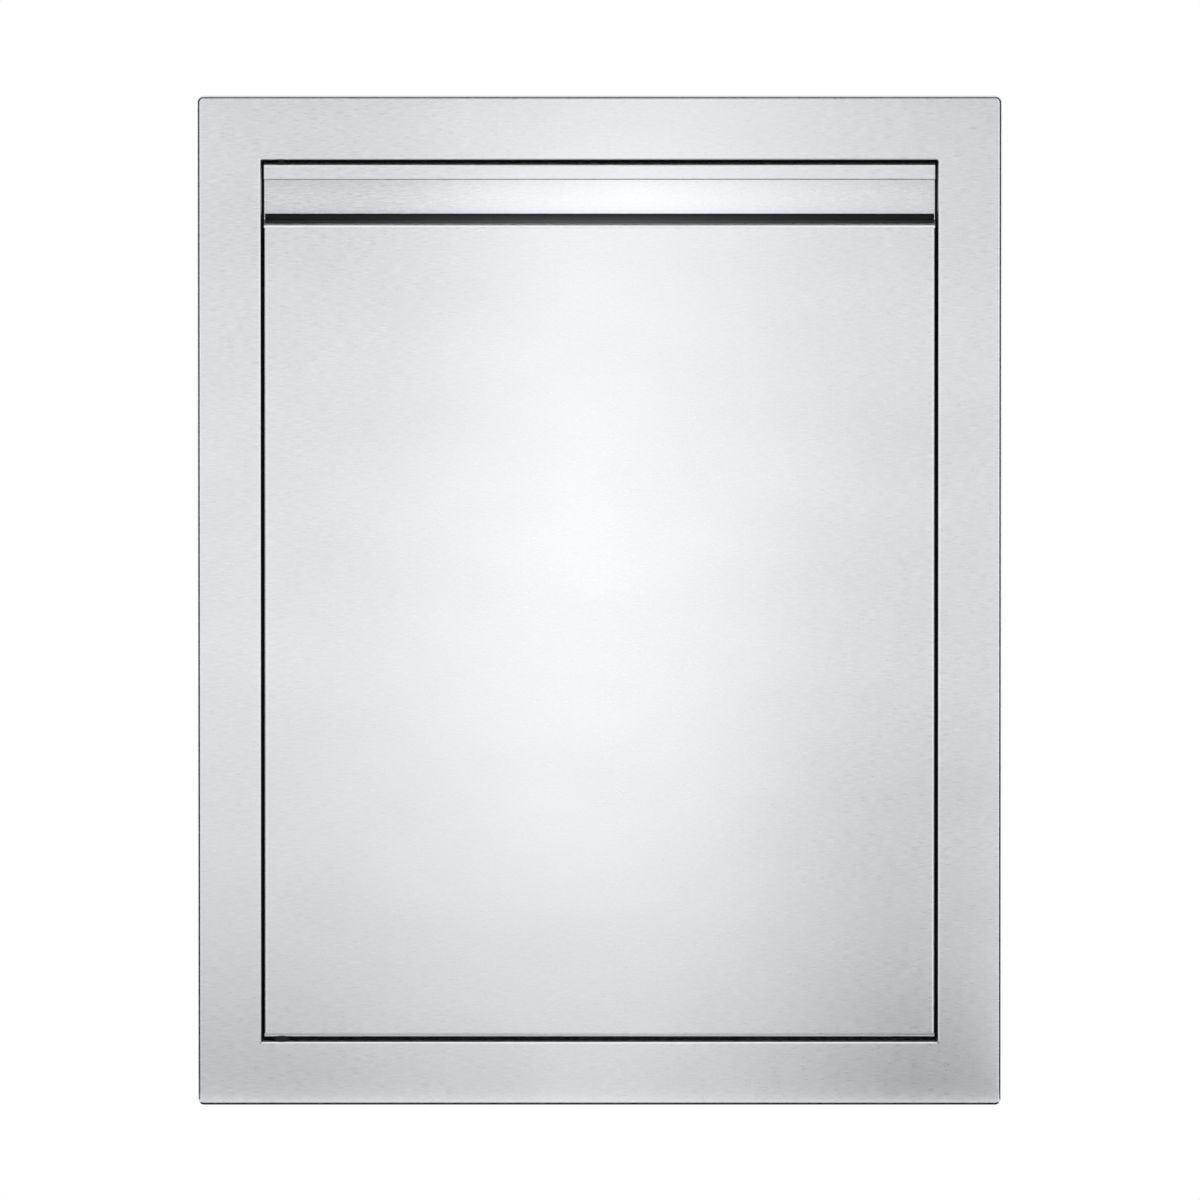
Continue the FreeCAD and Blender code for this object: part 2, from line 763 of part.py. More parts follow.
parts["door_liner"] = door_liner()
for name, x in (("left", -stiffener_pitch), ("centre", 0), ("right", stiffener_pitch)):
    parts[f"{name}_stiffener"] = stiffener(x)

os.makedirs("parts", exist_ok=True)
for name, shape in parts.items():
    shape.exportStep(f"parts/{name}.step")
    size = shape.BoundBox
    print(f"{name}: {len(shape.Solids)} solid, {shape.Volume:.1f} mm3, valid {shape.isValid()}, "
          f"{size.XLength:.1f} x {size.YLength:.1f} x {size.ZLength:.1f}")
print(len(parts), "nodes")
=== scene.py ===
# %% [markdown]
# # A flush stainless access door for an outdoor kitchen island
# The real product is almost all sheet metal: a folded trim frame, a body behind it that goes into the
# island's cut-out, and a door folded from one brushed sheet with a finger pull across its whole width.
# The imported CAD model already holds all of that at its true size, so this scene keeps it as it is. What
# is left for Blender is what a solid can't carry: the brushed grain, the mill finish, plastics and
# rubber, the small fasteners, and a studio that lets bare steel look like steel.

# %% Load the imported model
import json
import math

import bmesh
import bpy
from mathutils import Matrix, Vector


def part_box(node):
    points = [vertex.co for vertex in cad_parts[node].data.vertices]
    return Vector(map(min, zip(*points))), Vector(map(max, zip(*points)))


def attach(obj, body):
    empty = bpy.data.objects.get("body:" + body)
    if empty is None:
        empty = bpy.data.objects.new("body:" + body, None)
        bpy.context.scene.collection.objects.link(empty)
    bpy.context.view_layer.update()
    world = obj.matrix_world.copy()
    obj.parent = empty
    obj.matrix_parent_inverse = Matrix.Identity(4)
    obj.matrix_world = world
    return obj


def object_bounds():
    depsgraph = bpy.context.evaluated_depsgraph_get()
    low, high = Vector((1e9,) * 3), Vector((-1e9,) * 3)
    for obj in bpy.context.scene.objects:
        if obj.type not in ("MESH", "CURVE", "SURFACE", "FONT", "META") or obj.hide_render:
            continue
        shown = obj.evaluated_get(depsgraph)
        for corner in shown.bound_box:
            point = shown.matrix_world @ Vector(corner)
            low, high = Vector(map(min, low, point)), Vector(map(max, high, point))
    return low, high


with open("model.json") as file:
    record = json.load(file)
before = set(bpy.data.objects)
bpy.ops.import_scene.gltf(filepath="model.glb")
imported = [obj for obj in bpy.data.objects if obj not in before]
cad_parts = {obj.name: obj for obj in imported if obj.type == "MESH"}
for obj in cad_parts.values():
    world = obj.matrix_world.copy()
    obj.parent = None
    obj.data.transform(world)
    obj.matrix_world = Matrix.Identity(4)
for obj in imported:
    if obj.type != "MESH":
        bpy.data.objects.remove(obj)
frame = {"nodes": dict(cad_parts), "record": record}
cad_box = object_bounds()
mm = 0.001

# %% [markdown]
# ## Small helpers for node trees
# A material is a graph, and writing a graph with raw calls hides what it does. A few short helpers are
# enough: add makes a node with its settings, feed fills a socket, calc does one step of arithmetic on
# sockets or plain numbers, spread gives a value another range, and new_group starts a node group.


# %% Helpers for materials
def add(tree, kind, **settings):
    """A new shader node with its properties set."""
    node = tree.nodes.new("ShaderNode" + kind)
    for name, value in settings.items():
        setattr(node, name, value)
    return node


def feed(tree, socket, value):
    """Sets a socket to a number, or links another socket to it."""
    if isinstance(value, bpy.types.NodeSocket):
        tree.links.new(value, socket)
    else:
        socket.default_value = value


def calc(tree, operation, *values):
    """One step of arithmetic, which gives its output socket."""
    node = add(tree, "Math", operation=operation)
    for socket, value in zip(node.inputs, values):
        feed(tree, socket, value)
    return node.outputs[0]


def spread(tree, value, low, high):
    """Moves a value of 0 to 1 to a new range."""
    node = add(tree, "MapRange")
    feed(tree, node.inputs["Value"], value)
    node.inputs["To Min"].default_value = low
    node.inputs["To Max"].default_value = high
    return node.outputs["Result"]


def new_group(name, numbers, outputs):
    """An empty node group with number inputs and outputs, and its two end nodes."""
    group = bpy.data.node_groups.new(name, "ShaderNodeTree")
    for label, value in numbers.items():
        socket = group.interface.new_socket(label, in_out="INPUT", socket_type="NodeSocketFloat")
        socket.default_value = value
    for label in outputs:
        group.interface.new_socket(label, in_out="OUTPUT", socket_type="NodeSocketFloat")
    return group, group.nodes.new("NodeGroupInput"), group.nodes.new("NodeGroupOutput")


print("helpers: add, feed, calc, spread, new_group")

# %% [markdown]
# ## The brushed grain
# The front sheets are finished with an abrasive belt before they are folded, which leaves fine parallel
# lines. They run level, and at a fold they go round the corner with the sheet. Stretched noise gives such
# lines: it is squeezed across the grain and drawn out along it. The group picks its two directions from
# the surface normal, so that front, sides and top returns all get lines along the sheet. Two sizes are
# mixed, because real grain has hair lines and broader bands, and a third, very large noise gives the
# faint clouds that handling and rolling leave.


# %% The grain as a node group
def stretched_noise(tree, along, across, length, width, detail):
    """Noise drawn out along one direction: length and width are in metres."""
    place = add(tree, "CombineXYZ")
    feed(tree, place.inputs["X"], calc(tree, "DIVIDE", along, length))
    feed(tree, place.inputs["Y"], calc(tree, "DIVIDE", across, width))
    noise = add(tree, "TexNoise", noise_dimensions="2D")
    noise.inputs["Scale"].default_value = 1.0
    noise.inputs["Detail"].default_value = detail
    noise.inputs["Roughness"].default_value = 0.6
    tree.links.new(place.outputs[0], noise.inputs["Vector"])
    return noise.outputs["Fac"]


def sheet_directions(tree):
    """Sockets for the way along the grain and the way across it, on any face of a folded sheet."""
    coordinates = add(tree, "TexCoord")
    place = add(tree, "SeparateXYZ")
    facing = add(tree, "SeparateXYZ")
    tree.links.new(coordinates.outputs["Object"], place.inputs[0])
    tree.links.new(coordinates.outputs["Normal"], facing.inputs[0])
    along = calc(tree, "ADD", place.outputs["X"], place.outputs["Y"])
    level_enough = 0.7
    flat = calc(tree, "GREATER_THAN", calc(tree, "ABSOLUTE", facing.outputs["Z"]), level_enough)
    step = calc(tree, "SUBTRACT", place.outputs["Y"], place.outputs["Z"])
    across = calc(tree, "MULTIPLY_ADD", flat, step, place.outputs["Z"])
    return along, across


def make_grain():
    group, given, result = new_group(
        "Brushed grain", {"Line length": 9 * mm, "Line width": 0.9 * mm}, ("Lines", "Clouds"),
    )
    along, across = sheet_directions(group)
    length, width = given.outputs["Line length"], given.outputs["Line width"]
    broad = stretched_noise(group, along, across, length, width, 2.0)
    hair_length, hair_width = calc(group, "MULTIPLY", length, 0.6), calc(group, "MULTIPLY", width, 0.5)
    hair = stretched_noise(group, along, across, hair_length, hair_width, 3.0)
    clouds = stretched_noise(group, along, across, 160 * mm, 90 * mm, 2.0)
    broad_part, hair_part = calc(group, "MULTIPLY", broad, 0.4), calc(group, "MULTIPLY", hair, 0.6)
    lines = calc(group, "ADD", broad_part, hair_part)
    group.links.new(lines, result.inputs["Lines"])
    group.links.new(clouds, result.inputs["Clouds"])
    return group


grain = make_grain()
print("group:", grain.name, [s.name for s in grain.interface.items_tree])

# %% [markdown]
# ## Brushed stainless steel
# This is the finish of the trim and of the door's front skin. Steel is a full metal, so its colour goes
# in Base Color and everything else is in the gloss. The lines scatter light mostly across themselves,
# which draws every highlight out upwards: Anisotropic does that, with the tangent along the stretch. The
# tangent is given in the sheet's own space, so it turns with the door. The grain moves the roughness and
# colour a little and tilts the normal by a hair; more than that would look like wood. Behind the face, as
# on the back wall of the finger pull, the sheet is a little smoother, and its colour is made brighter:
# painted light on the shaded back wall.


# %% Brushed steel for the trim and the door's front
def new_material(name, color, metallic, roughness):
    """A material with a Principled shader: its node tree and the shader."""
    material = bpy.data.materials.new(name)
    material.use_nodes = True
    tree = material.node_tree
    shader = tree.nodes["Principled BSDF"]
    shader.inputs["Base Color"].default_value = (*color, 1.0)
    shader.inputs["Metallic"].default_value = metallic
    shader.inputs["Roughness"].default_value = roughness
    return material, tree, shader


def tint(tree, value, dark, light):
    """A colour between two others."""
    mix = add(tree, "Mix", data_type="RGBA")
    feed(tree, mix.inputs["Factor"], value)
    mix.inputs[6].default_value = (*dark, 1.0)
    mix.inputs[7].default_value = (*light, 1.0)
    return mix.outputs[2]


def bump(tree, shader, height, depth):
    """Tilts the shader's normal by a height of 0 to 1 that is depth metres deep."""
    node = add(tree, "Bump")
    node.inputs["Distance"].default_value = depth
    feed(tree, node.inputs["Height"], height)
    tree.links.new(node.outputs[0], shader.inputs["Normal"])


def draw_out_upwards(tree, shader, stretch):
    """Draws highlights out across level grain; a slight lean gives level faces a direction too."""
    shader.inputs["Anisotropic"].default_value = stretch
    lean = 0.05
    upright = add(tree, "CombineXYZ")
    upright.inputs["Y"].default_value = lean
    upright.inputs["Z"].default_value = 1.0
    turn = add(tree, "VectorTransform", vector_type="VECTOR", convert_from="OBJECT", convert_to="WORLD")
    tree.links.new(upright.outputs[0], turn.inputs[0])
    tree.links.new(turn.outputs[0], shader.inputs["Tangent"])


def behind_face_mask(tree, depth):
    """0 near the face, rising to 1 over the last depth metres before the island's plane."""
    place = add(tree, "SeparateXYZ")
    tree.links.new(add(tree, "TexCoord").outputs["Object"], place.inputs[0])
    inward = add(tree, "MapRange", interpolation_type="SMOOTHSTEP")
    tree.links.new(place.outputs["Y"], inward.inputs["Value"])
    inward.inputs["From Min"].default_value = -depth
    inward.inputs["From Max"].default_value = 0.0
    return inward.outputs["Result"]


def brushed_steel(name, color, roughness, stretch, line_width, line_depth):
    """Steel with level grain, a little smoother behind the face, where painted light makes it brighter."""
    material, tree, shader = new_material(name, color, 1.0, roughness)
    draw_out_upwards(tree, shader, stretch)
    lines = add(tree, "Group", node_tree=grain)
    lines.inputs["Line width"].default_value = line_width
    behind_face = behind_face_mask(tree, 7 * mm)
    # Painted light: behind the face the colour is made brighter, standing in for light on the pull's
    # shaded back wall.
    painted_light, smoother = calc(tree, "MULTIPLY", behind_face, 0.2), calc(tree, "MULTIPLY", behind_face, 0.05)
    mixed = calc(tree, "ADD", lines.outputs["Lines"], calc(tree, "MULTIPLY", lines.outputs["Clouds"], 0.3))
    tone = calc(tree, "ADD", spread(tree, mixed, -0.15, 0.85), painted_light)
    darker = [0.82 * c for c in color]
    lighter = [1.18 * c for c in color]
    tree.links.new(tint(tree, tone, darker, lighter), shader.inputs["Base Color"])
    belted = spread(tree, lines.outputs["Lines"], roughness - 0.10, roughness + 0.10)
    tree.links.new(calc(tree, "SUBTRACT", belted, smoother), shader.inputs["Roughness"])
    bump(tree, shader, lines.outputs["Lines"], line_depth)
    return material


materials = {}
materials["brushed_face"] = brushed_steel(
    "Brushed face", (0.738, 0.746, 0.773), 0.30, 0.6, 0.9 * mm, 0.006 * mm,
)
print("material:", materials["brushed_face"].name)

# %% [markdown]
# ## Mill finish
# The body and the door's back skin are plain cold-rolled sheet, as it comes from the mill: a dull, even
# grey with faint rolling streaks and soft blotches. The same grain group serves with longer and wider
# lines. The door's back skin is also spot-welded to its stiffeners, which leaves rows of small round
# dents with a faint straw colour round each. They are worked out from the distance to the nearest point
# of a grid, so that no mesh is needed for them, and they stop short of the skin's folded ends.


# %% Mill finish for the sheet metal behind the face
def make_weld_marks():
    """Round marks in three pairs of upright rows: Dent is 0 in a mark, Heat is 1 in it and round it."""
    group, given, result = new_group(
        "Weld marks", {"Pitch": 55 * mm, "Radius": 2.8 * mm, "Half length": 250 * mm}, ("Dent", "Heat"),
    )
    place = add(group, "SeparateXYZ")
    group.links.new(add(group, "TexCoord").outputs["Object"], place.inputs[0])
    side = calc(group, "ABSOLUTE", place.outputs["X"])
    stiffener_pitch, weld_line = 110 * mm, 18 * mm
    rows = (weld_line, stiffener_pitch - weld_line, stiffener_pitch + weld_line)
    away = [calc(group, "ABSOLUTE", calc(group, "SUBTRACT", side, row)) for row in rows]
    across = calc(group, "MINIMUM", calc(group, "MINIMUM", away[0], away[1]), away[2])
    pitch = given.outputs["Pitch"]
    along = calc(group, "PINGPONG", place.outputs["Z"], calc(group, "MULTIPLY", pitch, 0.5))
    squares = calc(group, "ADD", calc(group, "POWER", across, 2.0), calc(group, "POWER", along, 2.0))
    radii = calc(group, "DIVIDE", calc(group, "SQRT", squares), given.outputs["Radius"])
    height = calc(group, "ABSOLUTE", place.outputs["Z"])
    beyond = calc(group, "GREATER_THAN", height, given.outputs["Half length"])
    far_off = 100.0
    reach = calc(group, "ADD", radii, calc(group, "MULTIPLY", beyond, far_off))
    for label, start, end in (("Dent", 0.7, 1.0), ("Heat", 1.9, 0.9)):
        node = add(group, "MapRange", interpolation_type="SMOOTHSTEP")
        node.inputs["From Min"].default_value = start
        node.inputs["From Max"].default_value = end
        group.links.new(reach, node.inputs["Value"])
        group.links.new(node.outputs["Result"], result.inputs[label])
    return group


weld_marks = make_weld_marks()


def mill_steel(name, color, roughness, welded=False):
    """Dull rolled sheet with faint streaks, and with weld marks where asked for."""
    material, tree, shader = new_material(name, color, 1.0, roughness)
    rolled = add(tree, "Group", node_tree=grain)
    rolled.inputs["Line length"].default_value = 60 * mm
    rolled.inputs["Line width"].default_value = 3 * mm
    darker = [0.86 * c for c in color]
    lighter = [1.1 * c for c in color]
    streaks = calc(tree, "MULTIPLY", rolled.outputs["Lines"], 0.4)
    tone = calc(tree, "ADD", streaks, calc(tree, "MULTIPLY", rolled.outputs["Clouds"], 0.6))
    shade = tint(tree, tone, darker, lighter)
    height = rolled.outputs["Lines"]
    depth = 0.006 * mm
    if welded:
        marks = add(tree, "Group", node_tree=weld_marks)
        faintness, straw_colour = 0.22, (0.46, 0.37, 0.24, 1.0)
        straw = add(tree, "Mix", data_type="RGBA")
        tree.links.new(calc(tree, "MULTIPLY", marks.outputs["Heat"], faintness), straw.inputs["Factor"])
        tree.links.new(shade, straw.inputs[6])
        straw.inputs[7].default_value = straw_colour
        shade = straw.outputs[2]
        height = calc(tree, "ADD", calc(tree, "MULTIPLY", height, 0.05), marks.outputs["Dent"])
        depth = 0.12 * mm
    tree.links.new(shade, shader.inputs["Base Color"])
    rough = spread(tree, rolled.outputs["Clouds"], roughness - 0.07, roughness + 0.07)
    tree.links.new(rough, shader.inputs["Roughness"])
    bump(tree, shader, height, depth)
    return material


materials["mill_steel"] = mill_steel("Mill steel", (0.60, 0.606, 0.621), 0.42)
materials["liner_steel"] = mill_steel("Liner steel", (0.62, 0.626, 0.642), 0.38, welded=True)
materials["bracket_steel"] = mill_steel("Bracket steel", (0.54, 0.545, 0.555), 0.36)
print("materials:", sorted(materials))

# %% [markdown]
# ## Turned, drawn and plated steel
# Pins and lever are machined or punched from bright bar, the spring is drawn wire, and the strike and
# pole plates are zinc-plated: paler, bluish and a little cloudy. They are small, so one recipe with a
# fine mottle in colour, roughness and normal is enough, with other numbers for each.


# %% Small metal parts
def make_mottle():
    group, given, result = new_group("Fine mottle", {"Size": 1 * mm}, ("Speckle", "Patch"))
    coordinates = add(group, "TexCoord")
    for label, times, detail in (("Speckle", 1.0, 2.0), ("Patch", 6.0, 1.0)):
        noise = add(group, "TexNoise")
        scale = calc(group, "DIVIDE", 1.0, calc(group, "MULTIPLY", given.outputs["Size"], times))
        group.links.new(scale, noise.inputs["Scale"])
        noise.inputs["Detail"].default_value = detail
        group.links.new(coordinates.outputs["Object"], noise.inputs["Vector"])
        group.links.new(noise.outputs["Fac"], result.inputs[label])
    return group


mottle = make_mottle()


def mottled(name, color, metallic, roughness, size, depth, contrast=0.08, sheen=0.5):
    """A plain finish broken up by a fine mottle: size and depth are in metres."""
    material, tree, shader = new_material(name, color, metallic, roughness)
    shader.inputs["Specular IOR Level"].default_value = sheen
    spots = add(tree, "Group", node_tree=mottle)
    spots.inputs["Size"].default_value = size
    darker = [(1 - contrast) * c for c in color]
    lighter = [(1 + contrast) * c for c in color]
    tree.links.new(tint(tree, spots.outputs["Patch"], darker, lighter), shader.inputs["Base Color"])
    rough = spread(tree, spots.outputs["Patch"], roughness - 0.05, roughness + 0.05)
    tree.links.new(rough, shader.inputs["Roughness"])
    bump(tree, shader, spots.outputs["Speckle"], depth)
    return material


materials["pin_steel"] = mottled("Pin steel", (0.66, 0.66, 0.67), 1.0, 0.24, 0.4 * mm, 0.003 * mm)
materials["spring_steel"] = mottled("Spring steel", (0.50, 0.50, 0.52), 1.0, 0.28, 0.3 * mm, 0.003 * mm)
materials["zinc_plate"] = mottled("Zinc plate", (0.68, 0.70, 0.73), 1.0, 0.36, 0.6 * mm, 0.006 * mm, 0.14)
print("materials:", sorted(materials))

# %% [markdown]
# ## Plastics, rubber, ferrite and black coat
# The bushes and the washer are black nylon, the catch housings white moulded plastic, the bumpers soft
# black rubber and the magnets dark ferrite. None is a metal. What tells them apart is the gloss: nylon is
# satin, rubber is dull with a fine tooth, and ferrite is matt and slightly gritty. The stops and pivot
# pins are steel under a black coat, and that black is partly painted shade: it makes the gap round the
# door read as one dark shadow line. Their shine is turned down by Specular IOR Level, so that nothing in
# the gap catches the light.

# %% Plastics, rubber, ferrite and black coat
materials["nylon"] = mottled(
    "Black nylon", (0.014, 0.014, 0.015), 0.0, 0.55, 0.5 * mm, 0.004 * mm, sheen=0.2,
)
materials["catch_plastic"] = mottled(
    "White plastic", (0.80, 0.80, 0.78), 0.0, 0.38, 0.7 * mm, 0.005 * mm, contrast=0.02,
)
materials["rubber"] = mottled("Black rubber", (0.030, 0.030, 0.031), 0.0, 0.68, 0.25 * mm, 0.012 * mm)
materials["magnet"] = mottled("Ferrite", (0.075, 0.075, 0.08), 0.0, 0.6, 0.3 * mm, 0.02 * mm, 0.2)
# Partly painted shade: the black coat on the stops and pivot pins makes the gap round the door read as
# shadow.
materials["black_steel"] = mottled(
    "Black steel, gap shade", (0.014, 0.014, 0.015), 0.0, 0.5, 0.5 * mm, 0.01 * mm, sheen=0.25,
)

for part in frame["record"]["subparts"]:
    finish = "liner_steel" if part["node"] == "door_liner" else part["material_slot"]
    for slot in frame["nodes"][part["node"]].material_slots:
        slot.material = materials[finish]

# %% [markdown]
# ## The small fasteners
# Four pan-head screws hold the two catches to the stop, and four blind rivets hold their strike plates to
# the door. The CAD leaves such things out, so they are made here. Each is round about one line, so a
# profile is spun into a closed surface, and the screw's cross recess is cut with a boolean. A boolean
# needs closed forms that don't run through themselves, so the cutter is one tapered cross and not two
# crossed blades. The places come from the boxes of the catches and the strike plates, so that nothing is
# typed twice.


# %% Screws and rivets
def spun(name, profile, sides=24):
    """A closed mesh spun about the Y axis, from (radius, distance along Y) points in metres."""
    mesh = bmesh.new()
    points = [mesh.verts.new((radius, along, 0.0)) for radius, along in profile]
    edges = [mesh.edges.new(pair) for pair in zip(points, points[1:])]
    bmesh.ops.spin(
        mesh, geom=points + edges, axis=(0, 1, 0), cent=(0, 0, 0), steps=sides, angle=2 * math.pi,
    )
    bmesh.ops.remove_doubles(mesh, verts=mesh.verts, dist=1e-7)
    bmesh.ops.recalc_face_normals(mesh, faces=mesh.faces)
    data = bpy.data.meshes.new(name)
    mesh.to_mesh(data)
    mesh.free()
    data.shade_smooth()
    data.set_sharp_from_angle(angle=math.radians(35))
    piece = bpy.data.objects.new(name, data)
    bpy.context.scene.collection.objects.link(piece)
    return piece


def cross_cutter(reach, width, deep, top):
    """A tapered cross that goes into a screw head from its top, as one closed form of twelve sides."""
    mesh = bmesh.new()
    rings = []
    wide, narrow = 1.25, 0.45
    for along, share in ((top + deep * 0.5, wide), (top - deep, narrow)):
        long, thin = reach * share, width * share
        arm = [(long, -thin), (long, thin), (thin, thin)]
        rings.append([
            mesh.verts.new(Matrix.Rotation(quarter * math.pi / 2, 3, "Y") @ Vector((x, along, -z)))
            for quarter in range(4) for x, z in arm
        ])
    count = len(rings[0])
    for i in range(count):
        j = (i + 1) % count
        mesh.faces.new((rings[0][i], rings[0][j], rings[1][j], rings[1][i]))
    for ring in rings:
        mesh.faces.new(ring)
    bmesh.ops.recalc_face_normals(mesh, faces=mesh.faces)
    data = bpy.data.meshes.new("cross_cutter")
    mesh.to_mesh(data)
    mesh.free()
    cutter = bpy.data.objects.new("cross_cutter", data)
    bpy.context.scene.collection.objects.link(cutter)
    return cutter


def cut_away(piece, cutter):
    """Takes the cutter's shape out of the piece, and removes the cutter."""
    boolean = piece.modifiers.new("recess", "BOOLEAN")
    boolean.object = cutter
    boolean.operation = "DIFFERENCE"
    bpy.context.view_layer.update()
    data = bpy.data.meshes.new_from_object(piece.evaluated_get(bpy.context.evaluated_depsgraph_get()))
    piece.modifiers.clear()
    piece.data = data
    bpy.data.objects.remove(cutter)


def copies(piece, places, body, finish):
    """Puts a copy of the piece at each place, and lets all of them ride on one body."""
    piece.data.materials.clear()
    piece.data.materials.append(materials[finish])
    for number, place in enumerate(places, 1):
        each = piece.copy()
        each.name = f"{piece.name}_{number}"
        each.location = place
        bpy.context.scene.collection.objects.link(each)
        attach(each, body)
    bpy.data.objects.remove(piece)


head_radius, head_height, screw_offset = 2.8 * mm, 2.0 * mm, 19 * mm
head = spun("catch_screw", [
    (0.0, 0.0), (head_radius, 0.0), (head_radius, 0.35 * head_height),
    (0.9 * head_radius, 0.72 * head_height), (0.62 * head_radius, 0.95 * head_height),
    (0.3 * head_radius, head_height), (0.0, head_height),
])
cut_away(head, cross_cutter(1.5 * mm, 0.38 * mm, 1.1 * mm, head_height))
rivet_radius, rivet_height, rivet_offset = 2.0 * mm, 0.8 * mm, 14 * mm
rivet = spun("strike_rivet", [
    (0.0, 0.0), (rivet_radius, 0.0), (0.96 * rivet_radius, 0.3 * rivet_height),
    (0.75 * rivet_radius, 0.75 * rivet_height), (0.45 * rivet_radius, rivet_height),
    (0.42 * rivet_radius, 0.7 * rivet_height), (0.0, 0.7 * rivet_height),
])
stop_sheet, ear = 1.2 * mm, 2.0 * mm
ear_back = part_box("right_stop")[0].y + stop_sheet + ear
screw_places, rivet_places = [], []
for level in ("upper", "lower"):
    low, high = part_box(f"{level}_catch_housing")
    centre = (low + high) / 2
    strike_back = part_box(f"{level}_strike_plate")[1].y
    for way in (-1, 1):
        screw_places.append((centre.x, ear_back, centre.z + way * screw_offset))
        rivet_places.append((centre.x, strike_back, centre.z + way * rivet_offset))
copies(head, screw_places, "frame", "pin_steel")
copies(rivet, rivet_places, "door", "pin_steel")
print("screws:", len(screw_places), "rivets:", len(rivet_places))

# %% [markdown]
# ## The strip in the finger pull
# A dark band runs along the foot of the pull, right above the panel's bright folded edge, where the pull
# lies in shade. A black ribbed rubber strip laid on the pull's floor and turned up its back wall makes
# that band: painted shade. It is a constant section, so its outline is drawn once and drawn out to its
# length. The floor and the wall are felt for with two rays, because their places belong to the folded
# skin. The rubber is made brighter in the middle and low down, a painted sheen: a bell curve along the
# strip, times how low the spot lies, mixes two greys.


# %% Where the strip lies
def feel(node, start, way):
    """Where a ray from start first meets a node."""
    hit, point = frame["nodes"][node].ray_cast(Vector(start), Vector(way))[:2]
    assert hit, node
    return point


skin_low, skin_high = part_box("door_skin")
inside = (0.0, (skin_low.y + skin_high.y) / 2, skin_high.z - 25 * mm)
floor_z = feel("door_skin", inside, (0, 0, -1)).z
wall_y = feel("door_skin", inside, (0, 1, 0)).y
print("pull floor at z", round(floor_z, 5), "back wall at y", round(wall_y, 5))

# %% The strip's section
cove, thick, upstand, fold, play = 3.0 * mm, 0.9 * mm, 4.8 * mm, 2.6 * mm, 0.4 * mm
start_y, cove_y, cove_z = skin_low.y + fold + play, wall_y - cove, floor_z + cove


def quarter(radius, steps, backwards=False):
    """Points of the cove's quarter turn, from the floor to the wall."""
    turns = [math.pi / 2 * step / steps for step in range(steps + 1)]
    points = [(cove_y + radius * math.sin(turn), cove_z - radius * math.cos(turn)) for turn in turns]
    return points[::-1] if backwards else points


rib_half_width, rib_height, rib_pitch = 0.5 * mm, 0.22 * mm, 1.8 * mm
rib_count = int((cove_y - start_y - 2 * rib_pitch) / rib_pitch)
ribs = []
for number in range(rib_count):
    centre = cove_y - rib_pitch * (number + 1)
    for step in range(5):
        turn = math.pi * step / 4
        ribs.append((
            centre + rib_half_width * math.cos(turn), floor_z + thick + rib_height * math.sin(turn),
        ))
section = [(start_y, floor_z)] + quarter(cove, 6) + [(wall_y, floor_z + upstand)]
section += [(wall_y - 0.3 * mm, floor_z + upstand + 0.15 * mm)]
section += [(wall_y - thick, floor_z + upstand - 0.4 * mm)]
section += quarter(cove - thick, 6, backwards=True) + ribs
section += [(start_y + 0.5 * mm, floor_z + thick), (start_y, floor_z + 0.6 * thick)]
print("points in the section:", len(section), "ribs:", rib_count)

# %% The strip drawn out
mesh = bmesh.new()
half_length = skin_high.x - play
outline = mesh.faces.new([mesh.verts.new((-half_length, y, z)) for y, z in section])
drawn = bmesh.ops.extrude_face_region(mesh, geom=[outline])["geom"]
far_end = [part for part in drawn if isinstance(part, bmesh.types.BMVert)]
bmesh.ops.translate(mesh, vec=(2 * half_length, 0, 0), verts=far_end)
bmesh.ops.recalc_face_normals(mesh, faces=mesh.faces)
data = bpy.data.meshes.new("pull_shade_strip")
mesh.to_mesh(data)
mesh.free()
data.shade_smooth()
data.set_sharp_from_angle(angle=math.radians(40))
# Painted shade: this black strip stands where the foot of the pull lies in shade.
shade_strip = bpy.data.objects.new("pull_shade_strip", data)
bpy.context.scene.collection.objects.link(shade_strip)
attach(shade_strip, "door")
print("strip:", round(2 * half_length / mm, 1), "mm long")


# %% Rubber with painted shade and a painted sheen
def grip_rubber(reach):
    """Black rubber for painted shade, with a painted sheen that makes it brighter within about reach
    metres of the middle, most on the pull's floor.
    """
    material, tree, shader = new_material("Strip rubber, painted shade and sheen", (0.02, 0.02, 0.02), 0.0, 0.5)
    shader.inputs["Specular IOR Level"].default_value = 0.2
    place = add(tree, "SeparateXYZ")
    tree.links.new(add(tree, "TexCoord").outputs["Object"], place.inputs[0])
    squared = calc(tree, "POWER", calc(tree, "DIVIDE", place.outputs["X"], reach), 2.0)
    middle = calc(tree, "EXPONENT", calc(tree, "MULTIPLY", squared, -1.0))
    height = calc(tree, "SUBTRACT", place.outputs["Z"], floor_z + thick)
    low = calc(tree, "SUBTRACT", 1.0, calc(tree, "MULTIPLY", height, 1 / upstand))
    spots = add(tree, "Group", node_tree=mottle)
    spots.inputs["Size"].default_value = 0.4 * mm
    patches = spread(tree, spots.outputs["Patch"], 0.8, 1.2)
    # Painted sheen: the rubber is made brighter in the middle of the strip and low down on its floor.
    painted_sheen = calc(tree, "MULTIPLY", calc(tree, "MULTIPLY", middle, low), patches)
    # The near-black is painted shade at the pull's foot; the grey is the painted sheen.
    shade_black, sheen_grey = (0.006, 0.006, 0.0065), (0.125, 0.125, 0.13)
    tree.links.new(tint(tree, painted_sheen, shade_black, sheen_grey), shader.inputs["Base Color"])
    tree.links.new(spread(tree, spots.outputs["Patch"], 0.46, 0.58), shader.inputs["Roughness"])
    bump(tree, shader, spots.outputs["Speckle"], 0.01 * mm)
    return material


materials["grip_rubber"] = grip_rubber(120 * mm)
shade_strip.data.materials.append(materials["grip_rubber"])
print("material:", materials["grip_rubber"].name)

